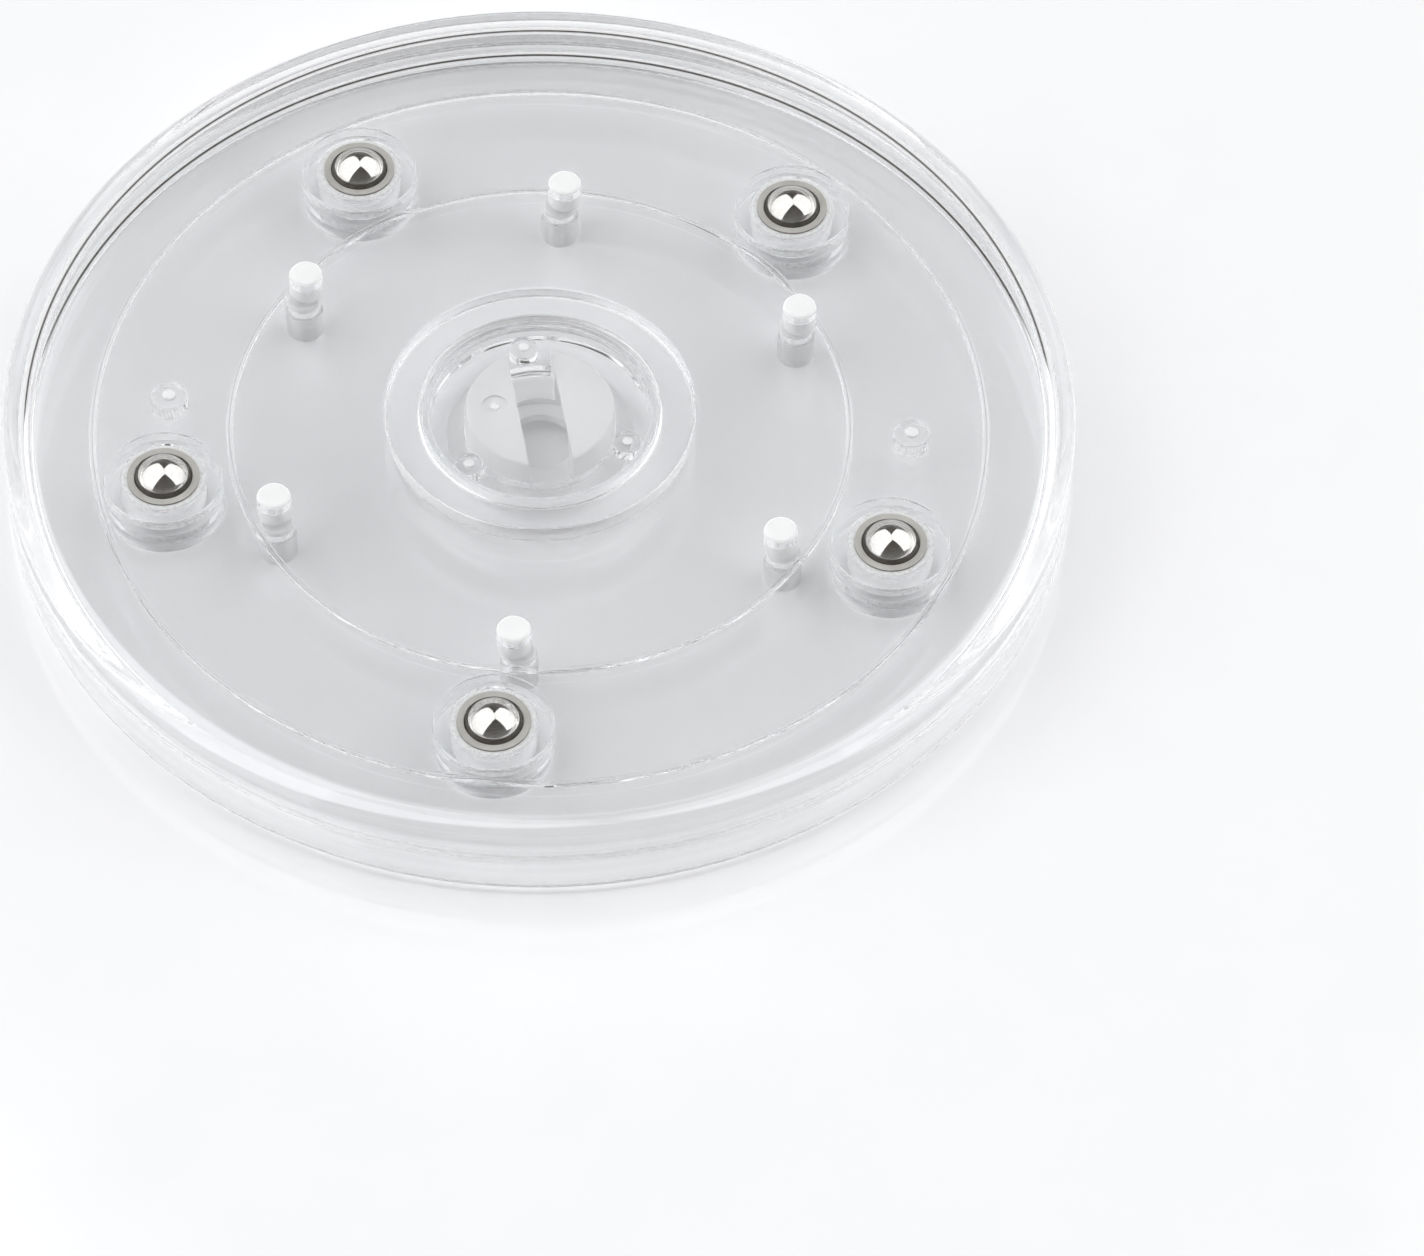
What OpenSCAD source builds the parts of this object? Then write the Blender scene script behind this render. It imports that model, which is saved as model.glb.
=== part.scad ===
// Small ball-bearing turntable for displaying models.
// A clear display disc turns on five steel balls that sit in cups in a clear base disc.
// Millimetres, +Z up. The origin is on the turning axis, at the underside of the feet.

/* [Discs] */
// Outer diameter of both discs
disc_d = 140; // [130:1:200]
// Height of the display disc's flat face
face_z = 12.2; // [12.2:0.1:14]
// Thickness of the display disc's plate
plate_t = 2.2; // [2:0.1:2.6]
// Height of the base disc's deck
deck_z = 6.3; // [6:0.1:6.4]
// Thickness of the base disc's deck
deck_t = 2.2; // [2:0.1:2.4]
// Thickness of the skirt round each disc
skirt_t = 2; // [2:0.1:3]
// Radius on the display disc's top edge
face_edge_r = 1.9; // [1:0.1:1.9]
// Radius on the base disc's edges
base_edge_r = 1.1; // [0.5:0.1:1.4]
// Air gap between the display disc's skirt and the base disc
skirt_gap = 0.35; // [0.3:0.05:0.6]
// Height that the feet lift the base disc's skirt
foot_lift = 0.4; // [0.3:0.1:0.8]

/* [Ball bearing] */
// Number of balls
ball_count = 5; // [3:1:6]
// Diameter of a ball
ball_d = 8; // [8:0.5:8]
// Radius of the circle of balls
ball_circle_r = 49.8; // [49:0.1:50]
// Angle of the first ball, from +X
ball_angle = 119; // [110:1:125]
// Air gap between a ball and the display disc
ball_gap = 0.03; // [0.02:0.01:0.06]
// Clearance round a ball in its cup
ball_clearance = 0.05; // [0.03:0.01:0.08]
// Clearance round a ball in its retainer ring
ring_clearance = 0.18; // [0.1:0.01:0.2]
// Radius of the rib inside the circle of balls, on the base disc
inner_rib_r = 40.6; // [40.6:0.1:41]
// Radius of the rib outside the circle of balls
outer_rib_r = 58.45; // [58.2:0.05:59]
// Width of both ribs
rib_w = 0.9; // [0.6:0.1:1]
// Height of both ribs above the deck
rib_rise = 0.7; // [0.3:0.1:1]
// Radius of the clear boss round each cup
boss_r = 7.8; // [7:0.1:8]
// Height of the boss's top
boss_z = 7.45; // [7:0.05:7.5]
// Height of the boss's underside
boss_bottom_z = 0.8; // [0.6:0.1:0.8]
// Thickness of the floor under a cup
boss_floor_t = 0.6; // [0.4:0.1:0.6]
// Radius of a cup
cup_r = 5.6; // [5.5:0.05:5.8]
// Radius of a retainer ring
ring_r = 4.7; // [4.6:0.05:5]
// Thickness of a retainer ring
ring_t = 0.8; // [0.6:0.1:1]
// Height of the retainer ring's top above the middle of the ball
ring_top_rise = 1.72; // [1.6:0.02:1.8]

/* [Centre] */
// Inner radius of the thick ring under the display disc
collar_inner_r = 15.8; // [15.6:0.1:16.2]
// Outer radius of that ring
collar_outer_r = 20.2; // [19:0.1:21]
// Height of that ring's lower edge
collar_bottom_z = 7; // [6.8:0.1:7.6]
// Outer radius of the tower on the base disc, which fits inside the ring
tower_r = 15.5; // [15.3:0.05:15.5]
// Thickness of the tower's wall
tower_t = 1.1; // [0.9:0.1:1.2]
// Height of the tower's top
tower_z = 9.2; // [8.6:0.1:9.3]
// Radius of the opening in the middle of the base disc
opening_r = 10.05; // [10.05:0.05:10.1]
// Outer radius of the hub's neck
hub_r = 9.75; // [9.6:0.05:9.75]
// Inner radius of the hub's neck
hub_bore_r = 6.5; // [5.5:0.1:7]
// Radius of the hole in the hub's floor
hub_hole_r = 4.5; // [4:0.1:5]
// Radius of the hub's retaining flange, under the base disc
flange_r = 12.2; // [11.5:0.1:13]
// Height of the hub's underside
hub_bottom_z = 1.6; // [1.2:0.1:1.8]
// Width of the slot across the hub
hub_slot_w = 5.8; // [4:0.1:6]
// Direction of that slot, from +X
hub_slot_angle = 98.7; // [0:0.1:180]

/* [Pads and feet] */
// Number of grip pads, and of feet
pad_count = 6; // [3:1:8]
// Radius of their circle
pad_circle_r = 37.8; // [30:0.1:37.9]
// Radius of a pad or foot where it goes through its disc
pad_r = 2.2; // [2:0.05:2.3]
// Height that the pads stand above the display face
pad_proud = 0.3; // [0.2:0.05:0.5]
// Height of a pad's lower end
pad_bottom_z = 7.9; // [7.8:0.1:9]
// Height of a foot's upper end
foot_top_z = 7.1; // [6.8:0.1:7.2]
// Radius of a foot's shoulder below the deck
foot_shoulder_r = 2.5; // [2.4:0.05:3]
// Angle of the first pad, from +X
pad_angle = 84.7; // [60:0.1:90]
// Angle of the first foot, from +X
foot_angle = 85.7; // [60:0.1:90]

/* [Moulding gates] */
// Radius of a gate stub between the ribs
stub_r = 2.45; // [2:0.05:2.6]
// Height of its top
stub_z = 8.5; // [8:0.1:9]
// Radius of the circle of stubs
stub_circle_r = 48.6; // [47:0.1:50]
// Angle of the first stub, from +X
stub_angle = 175.9; // [170:0.1:176]
// Radius of a gate post beside the hub
post_r = 1.95; // [1.6:0.05:2]
// Height of its top
post_z = 7.8; // [7:0.1:8.6]
// Radius of the circle of gate posts
post_circle_r = 12.1; // [12.1:0.05:12.3]
// Angle of the first gate post, from +X
post_angle = 100; // [80:1:110]

/* [Hidden] */
$fn = 96;
disc_r = disc_d / 2;
plate_z = face_z - plate_t;
face_skirt_z = deck_z + skirt_gap;
deck_under_z = deck_z - deck_t;
ball_r = ball_d / 2;
ball_z = plate_z - ball_gap - ball_r;
ring_top_z = ball_z + ring_top_rise;
ring_z = ring_top_z - ring_t;
cup_z = boss_bottom_z + boss_floor_t;
hub_gap = 0.05;
hub_top_z = plate_z - hub_gap;
flange_gap = 0.4;
flange_top_z = deck_under_z - flange_gap;
flange_bevel_h = 0.5;
flange_bevel_w = 0.6;
hub_floor_t = 1.2;
hub_roof_t = 1;
hub_edge_r = 0.35;
hub_gate_circle_r = 5.9;
hub_gate_angle = 177;
hub_gate_r = 1.7;
hub_gate_depth = 0.35;
corner_r = 0.3;
skirt_fillet_r = 2.2;
skirt_foot_r = 0.4;
collar_edge_r = 0.35;
tower_edge_r = 0.35;
rib_edge_r = 0.4;
boss_edge_r = 0.35;
gate_edge_r = 0.3;
cup_bevel = 0.35;
pad_edge_r = 0.5;
foot_edge_r = 0.4;
stub_count = 2;
post_count = 3;
skin = 0.01;

function names(word, count) = [for (i = [1:count]) str(word, "_", i)];

// Places its children at step i of a circle of count places
module on_circle(radius, first_angle, count, i) {
    rotate(first_angle + i * 360 / count)
        translate([radius, 0, 0])
            children();
}

// Places its children at every step of that circle
module all_round(radius, first_angle, count) {
    for (i = [0:count - 1])
        on_circle(radius, first_angle, count, i) children();
}

// A plain cylinder standing on z = bottom
module rod(radius, bottom, top) {
    translate([0, 0, bottom]) cylinder(r = radius, h = top - bottom);
}

// The part of a square corner that a radius leaves, for a convex edge
module corner(radius) {
    intersection() {
        square(radius);
        circle(radius);
    }
}

// The web that fills a concave corner at the origin
module web(radius) {
    difference() {
        square(radius);
        translate([radius, radius]) circle(radius);
    }
}

// A bar w wide and h high whose two upper corners are rounded
module bar(w, h, radius) {
    square([w, h - radius]);
    translate([radius, 0]) square([w - 2 * radius, h]);
    translate([radius, h - radius]) circle(radius);
    translate([w - radius, h - radius]) circle(radius);
}

// Half section of a rod with a rounded upper edge
module domed_section(radius, bottom, top, edge) {
    translate([0, bottom]) square([radius, top - edge - bottom]);
    translate([0, top - edge - skin]) square([radius - edge, edge + skin]);
    translate([radius - edge, top - edge]) corner(edge);
}

// A rod with a rounded upper edge
module domed_rod(radius, bottom, top, edge) {
    rotate_extrude() domed_section(radius, bottom, top, edge);
}

// Half section of a shallow inverted dish with rounded edges, without its middle features
module dish_section(top, thick, bottom, edge, foot_edge) {
    wall_x = disc_r - skirt_t;
    under = top - thick;
    translate([0, under]) square([wall_x + skin, thick - edge]);
    translate([0, top - edge - skin]) square([disc_r - edge, edge + skin]);
    translate([wall_x, bottom + foot_edge]) square([skirt_t, top - edge - bottom - foot_edge]);
    translate([wall_x, bottom]) square([skirt_t - foot_edge, foot_edge + skin]);
    translate([disc_r - edge, top - edge]) corner(edge);
    translate([disc_r - foot_edge, bottom + foot_edge]) mirror([0, 1]) corner(foot_edge);
    translate([wall_x + skin, under + skin]) mirror([1, 0]) mirror([0, 1]) web(skirt_fillet_r);
}

// Half section of the display disc with its thick ring
module display_section() {
    dish_section(face_z, plate_t, face_skirt_z, face_edge_r, skirt_foot_r);
    translate([collar_inner_r, plate_z + skin])
        mirror([0, 1])
            bar(collar_outer_r - collar_inner_r, plate_z - collar_bottom_z + skin, collar_edge_r);
    translate([collar_outer_r - skin, plate_z + skin]) mirror([0, 1]) web(corner_r);
}

// Half section of the base disc with its tower, its centre opening and its two ribs
module base_section() {
    difference() {
        dish_section(deck_z, deck_t, foot_lift, base_edge_r, base_edge_r);
        translate([-1, -1]) square([opening_r + 1, face_z]);
    }
    translate([tower_r - tower_t, deck_z - skin]) bar(tower_t, tower_z - deck_z + skin, tower_edge_r);
    translate([tower_r - skin, deck_z - skin]) web(corner_r);
    for (radius = [inner_rib_r, outer_rib_r])
        translate([radius - rib_w / 2, deck_z - skin]) bar(rib_w, rib_rise + skin, rib_edge_r);
}

// Clear display disc: plate, skirt and centring ring, with six holes for the grip pads
module display_disc() {
    color([0.86, 0.88, 0.9, 0.5])
        difference() {
            rotate_extrude() display_section();
            all_round(pad_circle_r, pad_angle, pad_count) rod(pad_r, plate_z - 1, face_z + 1);
        }
}

// Clear base disc: deck, skirt, tower, cup bosses and gate stubs, with six holes for the feet
module base_disc() {
    color([0.86, 0.88, 0.9, 0.5])
        difference() {
            union() {
                rotate_extrude() base_section();
                all_round(ball_circle_r, ball_angle, ball_count)
                    domed_rod(boss_r, boss_bottom_z, boss_z, boss_edge_r);
                all_round(stub_circle_r, stub_angle, stub_count)
                    domed_rod(stub_r, deck_z - skin, stub_z, gate_edge_r);
                all_round(post_circle_r, post_angle, post_count)
                    domed_rod(post_r, deck_z - skin, post_z, gate_edge_r);
            }
            all_round(ball_circle_r, ball_angle, ball_count) rod(cup_r, cup_z, face_z);
            all_round(pad_circle_r, foot_angle, pad_count) rod(pad_r, 0, face_z);
        }
}

// Frosted hub under the display disc: a slotted neck, and a flange that holds the base disc
module retaining_hub() {
    color([0.93, 0.94, 0.95, 0.8])
        difference() {
            union() {
                domed_rod(hub_r, hub_bottom_z, hub_top_z, hub_edge_r);
                rod(flange_r, hub_bottom_z + flange_bevel_h, flange_top_z);
                translate([0, 0, hub_bottom_z])
                    cylinder(r1 = flange_r - flange_bevel_w, r2 = flange_r, h = flange_bevel_h);
            }
            rod(hub_hole_r, hub_bottom_z - 1, hub_bottom_z + hub_floor_t + 1);
            rod(hub_bore_r, hub_bottom_z + hub_floor_t, hub_top_z - hub_roof_t);
            on_circle(hub_gate_circle_r, hub_gate_angle, 1, 0) rod(hub_gate_r, hub_top_z - hub_gate_depth, face_z);
            rotate(hub_slot_angle)
                translate([-disc_r, -hub_slot_w / 2, hub_bottom_z + hub_floor_t + 1])
                    cube([disc_d, hub_slot_w, face_z]);
        }
}

// Steel ball number i
module ball(i) {
    color([0.75, 0.74, 0.72])
        on_circle(ball_circle_r, ball_angle, ball_count, i)
            translate([0, 0, ball_z]) sphere(r = ball_r);
}

// Frosted cup that ball number i turns in
module ball_cup(i) {
    color([0.95, 0.95, 0.96, 0.8])
        on_circle(ball_circle_r, ball_angle, ball_count, i)
            difference() {
                union() {
                    rod(cup_r, cup_z, boss_z - cup_bevel);
                    translate([0, 0, boss_z - cup_bevel])
                        cylinder(r1 = cup_r, r2 = cup_r - cup_bevel, h = cup_bevel);
                }
                rod(ring_r, ring_z, face_z);
                translate([0, 0, ball_z]) sphere(r = ball_r + ball_clearance);
            }
}

// Ring that closes over the middle of ball number i and keeps it in its cup
module retainer_ring(i) {
    color([0.72, 0.7, 0.66])
        on_circle(ball_circle_r, ball_angle, ball_count, i)
            difference() {
                rod(ring_r, ring_z, ring_top_z);
                translate([0, 0, ball_z]) sphere(r = ball_r + ring_clearance);
            }
}

// Soft grip pad number i, pressed through the display disc
module grip_pad(i) {
    color([0.95, 0.95, 0.94])
        on_circle(pad_circle_r, pad_angle, pad_count, i)
            domed_rod(pad_r, pad_bottom_z, face_z + pad_proud, pad_edge_r);
}

// Soft foot number i, pressed through the base disc up to its shoulder
module foot(i) {
    color([0.95, 0.95, 0.94])
        on_circle(pad_circle_r, foot_angle, pad_count, i) {
            domed_rod(pad_r, deck_under_z - 2 * skin, foot_top_z, foot_edge_r);
            rod(foot_shoulder_r, 0, deck_under_z - skin);
        }
}

base_disc();
display_disc();
retaining_hub();
for (i = [0:ball_count - 1])
    ball(i);
for (i = [0:ball_count - 1])
    ball_cup(i);
for (i = [0:ball_count - 1])
    retainer_ring(i);
for (i = [0:pad_count - 1])
    grip_pad(i);
for (i = [0:pad_count - 1])
    foot(i);
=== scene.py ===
"""Looks of the turntable display stand: materials, clear discs, dark films of painted shade round the
balls, gate marks, studio, camera.
"""
import math
import random

import bmesh
import bpy
from mathutils import Matrix, Vector


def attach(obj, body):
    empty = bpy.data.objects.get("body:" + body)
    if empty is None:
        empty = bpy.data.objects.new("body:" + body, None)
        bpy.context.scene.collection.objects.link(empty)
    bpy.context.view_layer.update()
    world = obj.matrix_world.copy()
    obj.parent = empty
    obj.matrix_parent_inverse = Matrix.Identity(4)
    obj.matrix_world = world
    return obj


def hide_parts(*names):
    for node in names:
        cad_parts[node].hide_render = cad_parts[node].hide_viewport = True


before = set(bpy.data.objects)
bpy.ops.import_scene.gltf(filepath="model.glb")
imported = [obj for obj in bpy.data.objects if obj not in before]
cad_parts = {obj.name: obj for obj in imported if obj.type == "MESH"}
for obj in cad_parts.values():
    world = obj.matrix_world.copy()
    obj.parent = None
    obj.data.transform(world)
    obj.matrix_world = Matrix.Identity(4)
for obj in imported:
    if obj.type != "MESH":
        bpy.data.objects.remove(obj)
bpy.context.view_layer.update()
MM = 0.001
AXIS = Vector((0.0, 0.0, 0.0))

# Camera: where it stands, the point on the floor that it looks at, its roll and its lens
CAMERA_PLACE = (0.0, -549 * MM, 676 * MM)
CAMERA_TARGET = (22.06 * MM, -28.25 * MM, 0.0)
CAMERA_ROLL = math.radians(1.576)
CAMERA_LENS = 166.96
CAMERA_SENSOR = 36.0
CAMERA_REACH = 10.0

FLOOR_HALF = 4.0

# The CAD model's sizes, for the discs that are turned again here. Every _Z is a height above the floor.
DISC_R = 70 * MM
WALL_R = 68 * MM
FACE_Z = 12.2 * MM
PLATE_Z = 10.0 * MM
FACE_SKIRT_Z = 6.65 * MM
FACE_EDGE_R = 1.9 * MM
SKIRT_FOOT_R = 0.4 * MM
SKIRT_FILLET_R = 2.2 * MM
COLLAR_INNER_R = 15.8 * MM
COLLAR_OUTER_R = 20.2 * MM
COLLAR_Z = 7.0 * MM
COLLAR_EDGE_R = 0.35 * MM
CORNER_R = 0.3 * MM
DECK_Z = 6.3 * MM
DECK_UNDER_Z = 4.1 * MM
FOOT_LIFT = 0.4 * MM
BASE_EDGE_R = 1.1 * MM
OPENING_R = 10.05 * MM
TOWER_R = 15.5 * MM
TOWER_T = 1.1 * MM
TOWER_Z = 9.2 * MM
TOWER_EDGE_R = 0.35 * MM
INNER_RIB_R = 40.6 * MM
OUTER_RIB_R = 58.45 * MM
RIB_W = 0.9 * MM
RIB_TOP = 7.0 * MM
RIB_EDGE_R = 0.4 * MM
BALL_COUNT = 5
BALL_CIRCLE_R = 49.8 * MM
BALL_ANGLE = 119.0
BALL_R = 4.0 * MM
BALL_Z = 5.97 * MM
BOSS_R = 7.8 * MM
BOSS_Z = 7.45 * MM
BOSS_BOTTOM_Z = 0.8 * MM
BOSS_EDGE_R = 0.35 * MM
CUP_R = 5.6 * MM
CUP_Z = 1.4 * MM
PAD_COUNT = 6
PAD_CIRCLE_R = 37.8 * MM
PAD_ANGLE = 84.7
FOOT_ANGLE = 85.7
PAD_R = 2.2 * MM
STUB_COUNT = 2
STUB_CIRCLE_R = 48.6 * MM
STUB_ANGLE = 175.9
STUB_R = 2.45 * MM
STUB_TOP = 8.5 * MM
POST_COUNT = 3
POST_CIRCLE_R = 12.1 * MM
POST_ANGLE = 100.0
POST_R = 1.95 * MM
POST_TOP = 7.8 * MM
GATE_EDGE_R = 0.3 * MM
HUB_GATE_CIRCLE_R = 5.9 * MM
HUB_GATE_ANGLE = 177.0
HUB_POCKET_FLOOR = 9.6 * MM

# How finely shapes are turned
DISC_SPOKES = 512
PIN_SPOKES = 96
ARC_STEPS = 10
SUPPORT = 0.06 * MM
SHARP_ANGLE = math.radians(24)
WELD = 0.0005 * MM
LOOKS_DOWN = -0.9

# Overlap of joined shapes, and the gap that keeps pressed-in pieces from sharing a surface
SKIN = 0.01 * MM
FIT_GAP = 0.02 * MM

# The painted shade film's lower and upper edge, in degrees from the top of its ball, and its thickness
SHADE_FILM_REACH = (68, 56)
SHADE_FILM_T = 0.04 * MM

# Broken-off moulding gates as (radius, height), and how uneven they are
STUB_GATE = (0.95 * MM, 0.3 * MM)
POST_GATE = (0.75 * MM, 0.25 * MM)
HUB_GATE = (0.65 * MM, 0.25 * MM)
GATE_SINK = 0.02 * MM
GATE_RINGS = 6
GATE_SPOKES = 40
GATE_WAVES = 5
GATE_WOBBLE = 0.5
GATE_WAVE_SHARE = 60
GATE_DENT = 0.12
GATE_TOP = 0.86
GATE_SEED = 7

# Refractive indices
ACRYLIC_IOR = 1.49
HUB_IOR = 1.3
CUP_IOR = 1.4
RING_IOR = 1.52
SILICONE_IOR = 1.35

# Depth of relief on moulded faces, and how far shadow darkens a retainer ring from the ball's gap
MOULD_RELIEF = 0.02 * MM
CREVICE = 0.9 * MM

# Corners of the two light panels as (azimuth, elevation) in degrees, and how bright they are
SEAM_BACK = (6, 69)
SEAM_FRONT = (82, 84)
LEFT_PANEL = ((-20, 29), (-49, 20), (-76, -4), (-137, 19), SEAM_FRONT, SEAM_BACK)
RIGHT_PANEL = (SEAM_BACK, SEAM_FRONT, (121, 28), (66, -5), (46, 17), (22, 31))
PANEL_SOFTNESS = 0.02
PANEL_RADIANCE = 1.72
PANEL_COLOUR = (0.985, 0.992, 1.0)

# The dark room behind them, and the pale surroundings below a height given as the sine of the elevation
ROOM_COLOUR = (0.05, 0.046, 0.042)
TABLE_COLOUR = (0.52, 0.522, 0.525)
TABLE_HEIGHT = 0.28
TABLE_FADE = 0.04

# How often light may be bent or mirrored, and scattered
CLEAR_BOUNCES = 96
TRANSMISSION_BOUNCES = 64
DIFFUSE_BOUNCES = 8


# ---------------------------------------------------------------- node helpers
def new_material(name):
    """A material with a Principled shader; returns the material, its tree and the shader."""
    material = bpy.data.materials.new(name)
    material.use_nodes = True
    tree = material.node_tree
    tree.nodes.clear()
    output = tree.nodes.new("ShaderNodeOutputMaterial")
    shader = tree.nodes.new("ShaderNodeBsdfPrincipled")
    tree.links.new(shader.outputs["BSDF"], output.inputs["Surface"])
    return material, tree, shader


def noise(tree, scale, detail=3.0, roughness=0.5, stretch=(1.0, 1.0, 1.0)):
    """Noise in object space, in cycles per metre, stretched along an axis where wanted."""
    place = tree.nodes.new("ShaderNodeTexCoord")
    mapping = tree.nodes.new("ShaderNodeMapping")
    mapping.inputs["Scale"].default_value = stretch
    texture = tree.nodes.new("ShaderNodeTexNoise")
    texture.inputs["Scale"].default_value = scale
    texture.inputs["Detail"].default_value = detail
    texture.inputs["Roughness"].default_value = roughness
    tree.links.new(place.outputs["Object"], mapping.inputs["Vector"])
    tree.links.new(mapping.outputs["Vector"], texture.inputs["Vector"])
    return texture.outputs["Fac"]


def spread(tree, value, low, high, at=(0.3, 0.7)):
    """A noise value taken to the range low to high."""
    node = tree.nodes.new("ShaderNodeMapRange")
    node.inputs["From Min"].default_value = at[0]
    node.inputs["From Max"].default_value = at[1]
    node.inputs["To Min"].default_value = low
    node.inputs["To Max"].default_value = high
    tree.links.new(value, node.inputs["Value"])
    return node.outputs["Result"]


def two_colours(tree, value, first, second, at=(0.35, 0.65)):
    """A colour that drifts between two as the value does."""
    ramp = tree.nodes.new("ShaderNodeValToRGB")
    ramp.color_ramp.elements[0].position = at[0]
    ramp.color_ramp.elements[0].color = (*first, 1.0)
    ramp.color_ramp.elements[1].position = at[1]
    ramp.color_ramp.elements[1].color = (*second, 1.0)
    tree.links.new(value, ramp.inputs["Fac"])
    return ramp.outputs["Color"]


def bump(tree, shader, height, strength, distance):
    """Relief from a height value."""
    node = tree.nodes.new("ShaderNodeBump")
    node.inputs["Strength"].default_value = strength
    node.inputs["Distance"].default_value = distance
    tree.links.new(height, node.inputs["Height"])
    tree.links.new(node.outputs["Normal"], shader.inputs["Normal"])


# ---------------------------------------------------------------- materials
def clear_acrylic():
    """Polished clear plastic with faint flow marks from moulding."""
    material, tree, shader = new_material("clear_acrylic")
    shader.inputs["Transmission Weight"].default_value = 1.0
    shader.inputs["IOR"].default_value = ACRYLIC_IOR
    flow = noise(tree, 45.0, 2.0)
    tint = two_colours(tree, flow, (0.945, 0.948, 0.952), (0.96, 0.962, 0.965))
    tree.links.new(tint, shader.inputs["Base Color"])
    wear = noise(tree, 320.0, 5.0, 0.6)
    tree.links.new(spread(tree, wear, 0.0, 0.015), shader.inputs["Roughness"])
    bump(tree, shader, flow, 0.04, 0.2 * MM)
    return material


def frosted_acrylic():
    """The same clear plastic where the mould left it finely textured."""
    material, tree, shader = new_material("frosted_acrylic")
    shader.inputs["Transmission Weight"].default_value = 1.0
    shader.inputs["IOR"].default_value = ACRYLIC_IOR
    grain = noise(tree, 2200.0, 4.0, 0.6)
    tint = two_colours(tree, noise(tree, 45.0, 2.0), (0.90, 0.903, 0.908), (0.92, 0.922, 0.926))
    tree.links.new(tint, shader.inputs["Base Color"])
    tree.links.new(spread(tree, grain, 0.3, 0.42), shader.inputs["Roughness"])
    bump(tree, shader, grain, 0.2, MOULD_RELIEF)
    return material


def frosted_plastic():
    """Translucent plastic with a spark-eroded mould texture, for the hub."""
    material, tree, shader = new_material("frosted_plastic")
    shader.inputs["Transmission Weight"].default_value = 0.35
    shader.inputs["IOR"].default_value = HUB_IOR
    grain = noise(tree, 2600.0, 4.0, 0.6)
    tint = two_colours(tree, noise(tree, 160.0), (0.965, 0.967, 0.97), (0.99, 0.99, 0.99))
    tree.links.new(tint, shader.inputs["Base Color"])
    tree.links.new(spread(tree, grain, 0.28, 0.45), shader.inputs["Roughness"])
    bump(tree, shader, grain, 0.25, 0.03 * MM)
    return material


def cup_nylon():
    """Milky nylon of the ball cups."""
    material, tree, shader = new_material("cup_nylon")
    shader.inputs["Transmission Weight"].default_value = 0.15
    shader.inputs["IOR"].default_value = CUP_IOR
    grain = noise(tree, 1900.0, 4.0, 0.6)
    tint = two_colours(tree, noise(tree, 210.0), (0.965, 0.965, 0.965), (0.99, 0.99, 0.988))
    tree.links.new(tint, shader.inputs["Base Color"])
    tree.links.new(spread(tree, grain, 0.22, 0.36), shader.inputs["Roughness"])
    bump(tree, shader, grain, 0.2, MOULD_RELIEF)
    return material


def ring_nylon():
    """Satin beige-grey nylon of the rings over the balls, with painted shade darkening it to near black
    in the gap round each ball.
    """
    material, tree, shader = new_material("ring_nylon")
    shader.inputs["IOR"].default_value = RING_IOR
    grain = noise(tree, 2400.0, 4.0, 0.6)
    tint = two_colours(tree, noise(tree, 260.0, 4.0), (0.50, 0.485, 0.45), (0.58, 0.565, 0.525))
    crevice = tree.nodes.new("ShaderNodeAmbientOcclusion")
    crevice.samples = 8
    crevice.inputs["Distance"].default_value = CREVICE
    # Painted shade: ambient occlusion blends the ring towards near black in the gap round the ball.
    ring_gap_shade = tree.nodes.new("ShaderNodeMix")
    ring_gap_shade.data_type = "RGBA"
    ring_gap_shade.inputs[6].default_value = (0.035, 0.03, 0.025, 1.0)
    tree.links.new(spread(tree, crevice.outputs["AO"], 0.0, 1.0, (0.55, 0.8)), ring_gap_shade.inputs[0])
    tree.links.new(tint, ring_gap_shade.inputs[7])
    tree.links.new(ring_gap_shade.outputs[2], shader.inputs["Base Color"])
    tree.links.new(spread(tree, grain, 0.3, 0.42), shader.inputs["Roughness"])
    bump(tree, shader, grain, 0.2, MOULD_RELIEF)
    return material


def silicone():
    """Milky silicone of the grip pads and feet."""
    material, tree, shader = new_material("silicone")
    shader.inputs["Transmission Weight"].default_value = 0.2
    shader.inputs["IOR"].default_value = SILICONE_IOR
    grain = noise(tree, 2200.0, 4.0, 0.6)
    tint = two_colours(tree, noise(tree, 300.0), (0.96, 0.96, 0.96), (0.99, 0.99, 0.99))
    tree.links.new(tint, shader.inputs["Base Color"])
    tree.links.new(spread(tree, grain, 0.35, 0.5), shader.inputs["Roughness"])
    bump(tree, shader, grain, 0.25, MOULD_RELIEF)
    return material


def bearing_steel():
    """Polished steel with hairline rolling marks."""
    material, tree, shader = new_material("bearing_steel")
    shader.inputs["Metallic"].default_value = 1.0
    marks = noise(tree, 900.0, 6.0, 0.7, (1.0, 1.0, 6.0))
    tint = two_colours(tree, marks, (0.72, 0.70, 0.67), (0.80, 0.785, 0.76))
    tree.links.new(tint, shader.inputs["Base Color"])
    tree.links.new(spread(tree, marks, 0.02, 0.07), shader.inputs["Roughness"])
    bump(tree, shader, marks, 0.02, 0.01 * MM)
    return material


def painted_shade_film():
    """Thin dark film round a ball, painting the shade in the gap between the ball and its ring."""
    material, tree, shader = new_material("painted_shade_film")
    film_mottle = noise(tree, 1200.0, 4.0, 0.6)
    # Painted shade: the film's near-black colour darkens the gap round the ball.
    tint = two_colours(tree, film_mottle, (0.05, 0.042, 0.034), (0.085, 0.073, 0.06))
    tree.links.new(tint, shader.inputs["Base Color"])
    tree.links.new(spread(tree, film_mottle, 0.3, 0.45), shader.inputs["Roughness"])
    bump(tree, shader, film_mottle, 0.15, 0.01 * MM)
    return material


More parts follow.
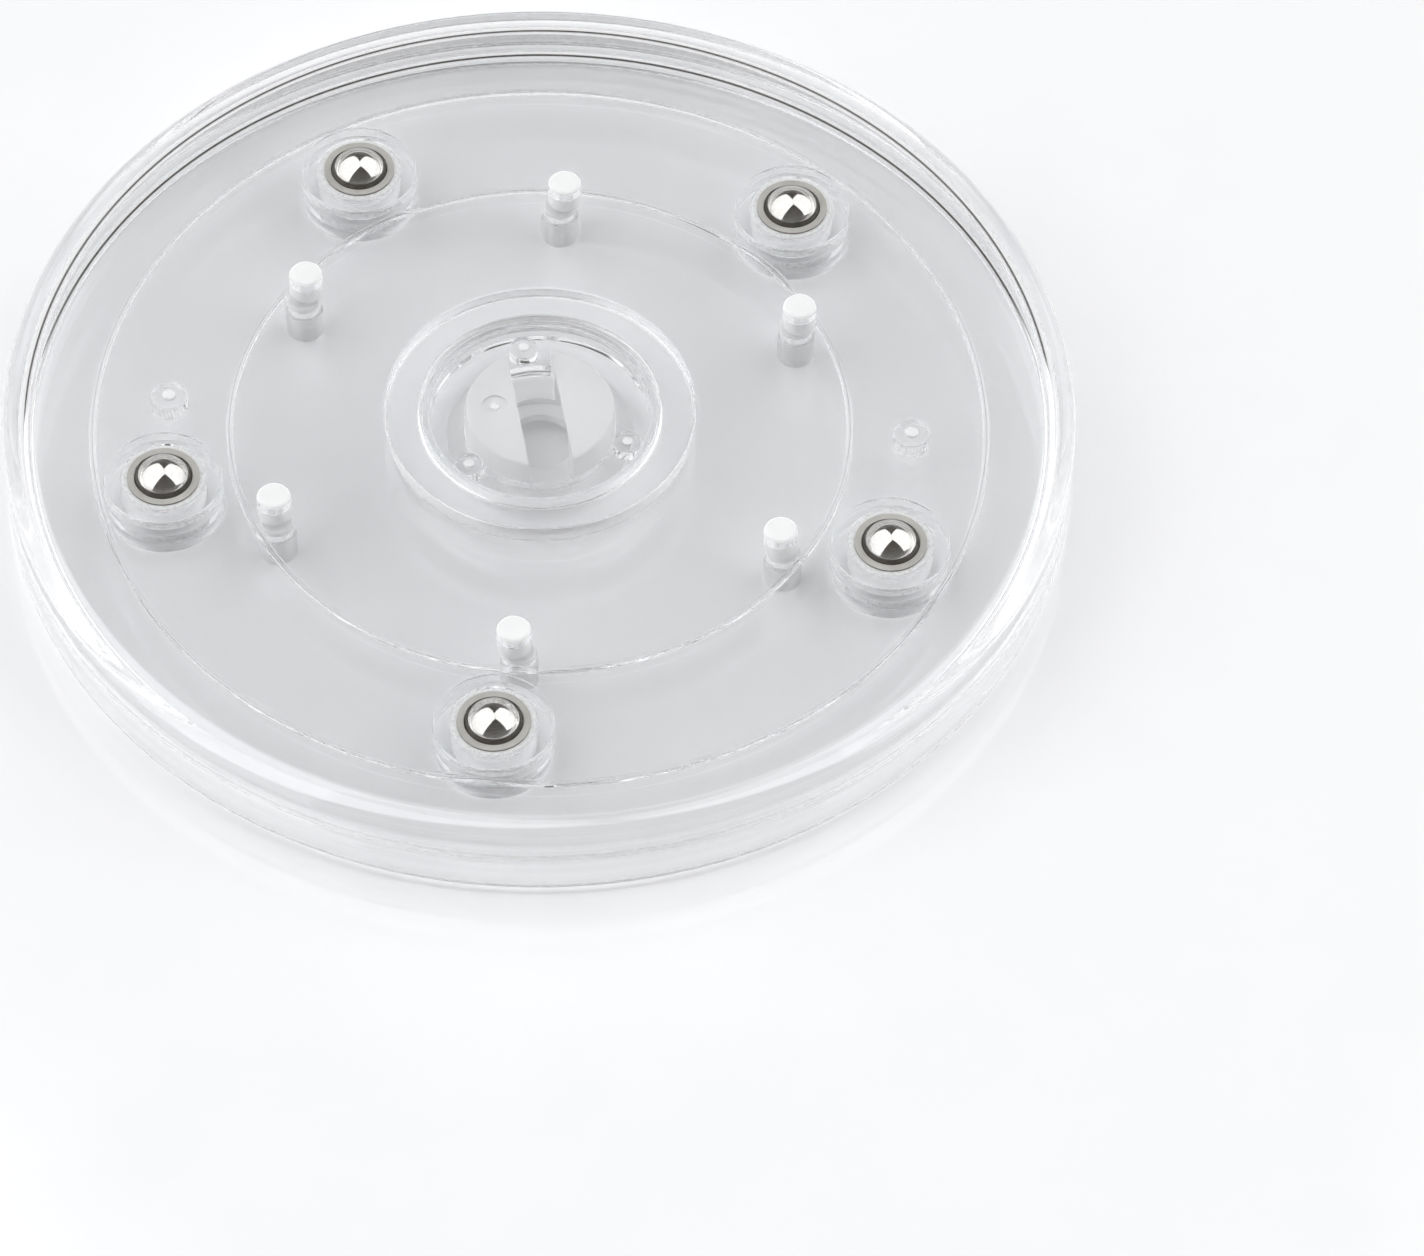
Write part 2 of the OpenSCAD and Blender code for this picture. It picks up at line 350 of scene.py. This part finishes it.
def gate_white():
    """Rough white of a broken-off moulding gate."""
    material, tree, shader = new_material("gate_white")
    grain = noise(tree, 3500.0, 5.0, 0.7)
    tint = two_colours(tree, grain, (0.97, 0.97, 0.97), (1.0, 1.0, 1.0))
    tree.links.new(tint, shader.inputs["Base Color"])
    tree.links.new(spread(tree, grain, 0.3, 0.5), shader.inputs["Roughness"])
    shader.inputs["Coat Weight"].default_value = 0.5
    bump(tree, shader, grain, 0.4, 0.04 * MM)
    return material


def pale_floor():
    """Plain pale glossy tabletop with a very faint grain."""
    material, tree, shader = new_material("pale_floor")
    grain = noise(tree, 60.0, 4.0)
    tint = two_colours(tree, grain, (0.925, 0.925, 0.93), (0.935, 0.935, 0.94))
    tree.links.new(tint, shader.inputs["Base Color"])
    tree.links.new(spread(tree, grain, 0.03, 0.06), shader.inputs["Roughness"])
    return material


def dress_nodes():
    """Gives every CAD node its material."""
    by_word = {
        "base_disc": clear_acrylic(),
        "retaining_hub": frosted_plastic(),
        "ball_cup": cup_nylon(),
        "retainer_ring": ring_nylon(),
        "grip_pad": silicone(),
        "ball": bearing_steel(),
    }
    by_word["display_disc"] = by_word["base_disc"]
    by_word["foot"] = by_word["grip_pad"]
    for name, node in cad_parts.items():
        word = name.rstrip("0123456789").rstrip("_")
        node.data.materials.clear()
        node.data.materials.append(by_word[word])
    return by_word


# ---------------------------------------------------------------- turned shapes
def rounded_outline(corners):
    """Points along a closed outline of (radius, height, edge radius) corners, with each edge rounded.

    A support point stands close to both ends of each arc, so that a flat face shades flat.
    """
    outline = []
    count = len(corners)
    for index, (r, z, edge) in enumerate(corners):
        here = Vector((r, z))
        if edge == 0:
            outline.append(here)
            continue
        towards_last = (Vector(corners[index - 1][:2]) - here).normalized()
        towards_next = (Vector(corners[(index + 1) % count][:2]) - here).normalized()
        centre = here + (towards_last + towards_next) * edge
        outline.append(here + towards_last * (edge + SUPPORT))
        for step in range(ARC_STEPS + 1):
            turn = math.pi / 2 * step / ARC_STEPS
            across = towards_next * edge * math.cos(turn)
            along = towards_last * edge * math.sin(turn)
            outline.append(centre - across - along)
        outline.append(here + towards_next * (edge + SUPPORT))
    return outline


def turned(outline, spokes, centre=AXIS):
    """A bmesh of a closed (radius, height) outline, turned round the vertical through centre."""
    build = bmesh.new()
    rows = []
    for r, z in outline:
        if r < SUPPORT:
            rows.append([build.verts.new(centre + Vector((0.0, 0.0, z)))] * spokes)
            continue
        row = []
        for spoke in range(spokes):
            turn = 2 * math.pi * spoke / spokes
            here = Vector((r * math.cos(turn), r * math.sin(turn), z))
            row.append(build.verts.new(centre + here))
        rows.append(row)
    for first, second in zip(rows, rows[1:] + rows[:1]):
        for spoke in range(spokes):
            after = (spoke + 1) % spokes
            corners = []
            for vert in (first[spoke], first[after], second[after], second[spoke]):
                if vert not in corners:
                    corners.append(vert)
            if len(corners) > 2:
                build.faces.new(corners)
    bmesh.ops.recalc_face_normals(build, faces=build.faces)
    return build


def linked_object(name, build):
    """An object of a bmesh, in the scene."""
    mesh = bpy.data.meshes.new(name)
    build.to_mesh(mesh)
    build.free()
    thing = bpy.data.objects.new(name, mesh)
    bpy.context.scene.collection.objects.link(thing)
    return thing


def smooth_but_sharp(build):
    """Shades a bmesh smooth, except over its sharp edges."""
    for face in build.faces:
        face.smooth = True
    for edge in build.edges:
        edge.smooth = edge.calc_face_angle(0.0) < SHARP_ANGLE


def as_object(name, build):
    """An object of a bmesh, smooth except over its sharp edges."""
    smooth_but_sharp(build)
    return linked_object(name, build)


def joined(builds):
    """One bmesh of several."""
    whole = bmesh.new()
    for build in builds:
        part = bpy.data.meshes.new("part")
        build.to_mesh(part)
        build.free()
        whole.from_mesh(part)
        bpy.data.meshes.remove(part)
    return whole


def cut(thing, operation, builds):
    """Adds or takes away turned shapes, and shades the result again."""
    tool = as_object("tool", joined(builds))
    change = thing.modifiers.new(operation, "BOOLEAN")
    change.operation = operation
    change.solver = "EXACT"
    change.object = tool
    depsgraph = bpy.context.evaluated_depsgraph_get()
    result = bpy.data.meshes.new_from_object(thing.evaluated_get(depsgraph))
    thing.modifiers.clear()
    thing.data = result
    bpy.data.objects.remove(tool)
    build = bmesh.new()
    build.from_mesh(result)
    bmesh.ops.remove_doubles(build, verts=build.verts, dist=WELD)
    smooth_but_sharp(build)
    build.to_mesh(result)
    build.free()


def pin(radius, bottom, top, centre, edge=0.0):
    """A turned rod whose upper edge may be rounded."""
    corners = ((0.0, top, 0.0), (radius, top, edge), (radius, bottom, 0.0), (0.0, bottom, 0.0))
    return turned(rounded_outline(corners), PIN_SPOKES, centre)


def places(radius, first_degrees, count):
    """Places at even steps on a circle round the turning axis, from +X."""
    turns = [math.radians(first_degrees + 360 / count * step) for step in range(count)]
    return [Vector((radius * math.cos(turn), radius * math.sin(turn), 0.0)) for turn in turns]


def frost_feet(piece, height, material):
    """Textures the flat faces that look down from below a height."""
    slot = len(piece.data.materials)
    piece.data.materials.append(material)
    for face in piece.data.polygons:
        if face.normal.z < LOOKS_DOWN and face.center.z < height:
            face.material_index = slot


def finish_piece(piece, node, body, material):
    """Gives a stand-in its material and its body, and hides the CAD node that it stands for."""
    piece.data.materials.clear()
    piece.data.materials.append(material)
    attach(piece, body)
    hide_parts(node)


def make_display_disc(material, feet_material):
    """The display disc again, turned finely so that its clear rim shows no facets."""
    corners = (
        (0.0, FACE_Z, 0.0), (DISC_R, FACE_Z, FACE_EDGE_R), (DISC_R, FACE_SKIRT_Z, SKIRT_FOOT_R),
        (WALL_R, FACE_SKIRT_Z, 0.0), (WALL_R, PLATE_Z, SKIRT_FILLET_R),
        (COLLAR_OUTER_R, PLATE_Z, CORNER_R), (COLLAR_OUTER_R, COLLAR_Z, COLLAR_EDGE_R),
        (COLLAR_INNER_R, COLLAR_Z, COLLAR_EDGE_R),
        (COLLAR_INNER_R, PLATE_Z, 0.0), (0.0, PLATE_Z, 0.0),
    )
    disc = as_object("display_disc_clear", turned(rounded_outline(corners), DISC_SPOKES))
    holes = places(PAD_CIRCLE_R, PAD_ANGLE, PAD_COUNT)
    cut(disc, "DIFFERENCE", [pin(PAD_R + FIT_GAP, PLATE_Z - MM, FACE_Z + MM, at) for at in holes])
    finish_piece(disc, "display_disc", "turntable", material)
    frost_feet(disc, PLATE_Z - MM, feet_material)


def make_base_disc(material, feet_material):
    """The base disc again, turned finely, with its bosses, stubs, posts and holes."""
    corners = [
        (OPENING_R, DECK_Z, 0.0), (TOWER_R - TOWER_T, DECK_Z, 0.0),
        (TOWER_R - TOWER_T, TOWER_Z, TOWER_EDGE_R), (TOWER_R, TOWER_Z, TOWER_EDGE_R),
        (TOWER_R, DECK_Z, CORNER_R),
    ]
    for radius in (INNER_RIB_R, OUTER_RIB_R):
        inside, outside = radius - RIB_W / 2, radius + RIB_W / 2
        corners += [(inside, DECK_Z, 0.0), (inside, RIB_TOP, RIB_EDGE_R)]
        corners += [(outside, RIB_TOP, RIB_EDGE_R), (outside, DECK_Z, 0.0)]
    corners += [
        (DISC_R, DECK_Z, BASE_EDGE_R), (DISC_R, FOOT_LIFT, BASE_EDGE_R), (WALL_R, FOOT_LIFT, 0.0),
        (WALL_R, DECK_UNDER_Z, SKIRT_FILLET_R), (OPENING_R, DECK_UNDER_Z, 0.0),
    ]
    disc = as_object("base_disc_clear", turned(rounded_outline(corners), DISC_SPOKES))
    balls = places(BALL_CIRCLE_R, BALL_ANGLE, BALL_COUNT)
    stubs = places(STUB_CIRCLE_R, STUB_ANGLE, STUB_COUNT)
    posts = places(POST_CIRCLE_R, POST_ANGLE, POST_COUNT)
    feet = places(PAD_CIRCLE_R, FOOT_ANGLE, PAD_COUNT)
    added = [pin(BOSS_R, BOSS_BOTTOM_Z, BOSS_Z, at, BOSS_EDGE_R) for at in balls]
    added += [pin(STUB_R, DECK_Z - SKIN, STUB_TOP, at, GATE_EDGE_R) for at in stubs]
    added += [pin(POST_R, DECK_Z - SKIN, POST_TOP, at, GATE_EDGE_R) for at in posts]
    cut(disc, "UNION", added)
    taken = [pin(CUP_R + FIT_GAP, CUP_Z - FIT_GAP, FACE_Z, at) for at in balls]
    taken += [pin(PAD_R + FIT_GAP, -MM, FACE_Z, at) for at in feet]
    cut(disc, "DIFFERENCE", taken)
    finish_piece(disc, "base_disc", "base", material)
    frost_feet(disc, DECK_UNDER_Z - MM, feet_material)


def make_shade_films():
    """A thin dark film of painted shade round each ball, from its retainer ring a little way up the ball.
    """
    material = painted_shade_film()
    inner, outer = BALL_R + FIT_GAP, BALL_R + FIT_GAP + SHADE_FILM_T
    low, high = (math.radians(degrees) for degrees in SHADE_FILM_REACH)
    outline = []
    for radius, start, end in ((outer, low, high), (inner, high, low)):
        for step in range(ARC_STEPS + 1):
            turn = start + (end - start) * step / ARC_STEPS
            outline.append(Vector((radius * math.sin(turn), BALL_Z + radius * math.cos(turn))))
    for number, at in enumerate(places(BALL_CIRCLE_R, BALL_ANGLE, BALL_COUNT), 1):
        film = as_object(f"shade_film_ring_{number}", turned(outline, PIN_SPOKES, at))
        film.data.materials.append(material)
        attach(film, "base")


# ---------------------------------------------------------------- broken-off moulding gates
def gate_mark(name, centre, size, body, material, rng):
    """A small uneven dome, left where the plastic was broken off its feed."""
    radius, height = size
    wobble = [1.0 + rng.uniform(-GATE_WOBBLE, GATE_WOBBLE) for _ in range(GATE_WAVES)]
    build = bmesh.new()
    rows = []
    for ring in range(1, GATE_RINGS + 1):
        share = ring / GATE_RINGS
        dome = height * math.sqrt(max(0.0, 1 - share ** 4))
        row = []
        for spoke in range(GATE_SPOKES):
            turn = 2 * math.pi * spoke / GATE_SPOKES
            waves = sum(w * math.cos(k * turn + 9 * w) for k, w in enumerate(wobble, 2))
            reach = radius * share * (1 + waves / GATE_WAVE_SHARE)
            rise = dome * (1 - GATE_DENT * math.cos(3 * turn + 4 * share))
            here = Vector((reach * math.cos(turn), reach * math.sin(turn), rise))
            row.append(build.verts.new(centre + here))
        rows.append(row)
    top = build.verts.new(centre + Vector((0.0, 0.0, height * GATE_TOP)))
    foot = build.verts.new(centre)
    for spoke in range(GATE_SPOKES):
        after = (spoke + 1) % GATE_SPOKES
        build.faces.new((top, rows[0][spoke], rows[0][after]))
        build.faces.new((foot, rows[-1][after], rows[-1][spoke]))
        for inner, outer in zip(rows, rows[1:]):
            build.faces.new((inner[spoke], outer[spoke], outer[after], inner[after]))
    for face in build.faces:
        face.smooth = True
    piece = linked_object(name, build)
    piece.data.materials.append(material)
    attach(piece, body)


def make_gate_marks():
    """One mark on each stub, on each post and in the hub's pocket."""
    rng = random.Random(GATE_SEED)
    material = gate_white()
    for number, at in enumerate(places(STUB_CIRCLE_R, STUB_ANGLE, STUB_COUNT), 1):
        at.z = STUB_TOP - GATE_SINK
        gate_mark(f"stub_gate_{number}", at, STUB_GATE, "base", material, rng)
    for number, at in enumerate(places(POST_CIRCLE_R, POST_ANGLE, POST_COUNT), 1):
        at.z = POST_TOP - GATE_SINK
        gate_mark(f"post_gate_{number}", at, POST_GATE, "base", material, rng)
    at = places(HUB_GATE_CIRCLE_R, HUB_GATE_ANGLE, 1)[0]
    at.z = HUB_POCKET_FLOOR - GATE_SINK
    gate_mark("hub_gate", at, HUB_GATE, "turntable", material, rng)


# ---------------------------------------------------------------- studio
def make_floor():
    """A wide plain floor."""
    build = bmesh.new()
    sides = ((-1, -1), (1, -1), (1, 1), (-1, 1))
    build.faces.new([build.verts.new((x * FLOOR_HALF, y * FLOOR_HALF, 0.0)) for x, y in sides])
    floor = linked_object("floor", build)
    floor.data.materials.append(pale_floor())


def sky_direction(azimuth, elevation):
    """Unit vector towards a place in the studio. Azimuth runs from +Y towards +X, in degrees."""
    a, e = math.radians(azimuth), math.radians(elevation)
    return Vector((math.sin(a) * math.cos(e), math.cos(a) * math.cos(e), math.sin(e)))


def panel_mask(tree, direction, corners):
    """1 inside a soft-edged panel, else 0. Its corners run anticlockwise as seen from the stand."""
    mask = None
    points = [sky_direction(*corner) for corner in corners]
    for here, there in zip(points, points[1:] + points[:1]):
        side = tree.nodes.new("ShaderNodeVectorMath")
        side.operation = "DOT_PRODUCT"
        side.inputs[1].default_value = here.cross(there).normalized()
        tree.links.new(direction, side.inputs[0])
        edge = tree.nodes.new("ShaderNodeMapRange")
        edge.interpolation_type = "SMOOTHSTEP"
        edge.inputs["From Min"].default_value = -PANEL_SOFTNESS
        edge.inputs["From Max"].default_value = PANEL_SOFTNESS
        tree.links.new(side.outputs["Value"], edge.inputs["Value"])
        if mask is None:
            mask = edge.outputs["Result"]
        else:
            both = tree.nodes.new("ShaderNodeMath")
            both.operation = "MULTIPLY"
            tree.links.new(mask, both.inputs[0])
            tree.links.new(edge.outputs["Result"], both.inputs[1])
            mask = both.outputs["Value"]
    return mask


def make_light():
    """Two big soft panels that meet overhead, in a dark warm room over a pale table."""
    world = bpy.data.worlds.new("studio")
    world.use_nodes = True
    tree = world.node_tree
    place = tree.nodes.new("ShaderNodeTexCoord")
    direction = place.outputs["Generated"]
    lit = tree.nodes.new("ShaderNodeMath")
    lit.operation = "MAXIMUM"
    for slot, corners in enumerate((LEFT_PANEL, RIGHT_PANEL)):
        tree.links.new(panel_mask(tree, direction, corners), lit.inputs[slot])
    split = tree.nodes.new("ShaderNodeSeparateXYZ")
    tree.links.new(direction, split.inputs["Vector"])
    fade = (TABLE_HEIGHT - TABLE_FADE, TABLE_HEIGHT + TABLE_FADE)
    above = spread(tree, split.outputs["Z"], 0.0, 1.0, fade)
    room = two_colours(tree, above, TABLE_COLOUR, ROOM_COLOUR, (0.0, 1.0))
    mix = tree.nodes.new("ShaderNodeMix")
    mix.data_type = "RGBA"
    mix.inputs[7].default_value = (*PANEL_COLOUR, 1.0)
    tree.links.new(lit.outputs["Value"], mix.inputs[0])
    tree.links.new(room, mix.inputs[6])
    tree.links.new(mix.outputs[2], tree.nodes["Background"].inputs["Color"])
    tree.nodes["Background"].inputs["Strength"].default_value = PANEL_RADIANCE
    bpy.context.scene.world = world


def make_camera():
    """Camera at the photograph's viewing angle."""
    place, target = Vector(CAMERA_PLACE), Vector(CAMERA_TARGET)
    data = bpy.data.cameras.new("camera")
    data.lens = CAMERA_LENS
    data.sensor_width = CAMERA_SENSOR
    data.clip_end = CAMERA_REACH
    camera = bpy.data.objects.new("camera", data)
    turn = (target - place).to_track_quat("-Z", "Y").to_matrix().to_4x4()
    camera.matrix_world = Matrix.Translation(place) @ turn @ Matrix.Rotation(CAMERA_ROLL, 4, "Z")
    bpy.context.scene.collection.objects.link(camera)
    bpy.context.scene.camera = camera


def settings():
    """Light paths long enough for two clear discs, and a plain view transform."""
    scene = bpy.context.scene
    scene.cycles.max_bounces = CLEAR_BOUNCES
    scene.cycles.transmission_bounces = TRANSMISSION_BOUNCES
    scene.cycles.glossy_bounces = CLEAR_BOUNCES
    scene.cycles.diffuse_bounces = DIFFUSE_BOUNCES
    scene.cycles.blur_glossy = 0.0
    scene.view_settings.view_transform = "Standard"


materials = dress_nodes()
feet_material = frosted_acrylic()
make_display_disc(materials["display_disc"], feet_material)
make_base_disc(materials["base_disc"], feet_material)
make_shade_films()
make_gate_marks()
make_floor()
make_light()
make_camera()
settings()
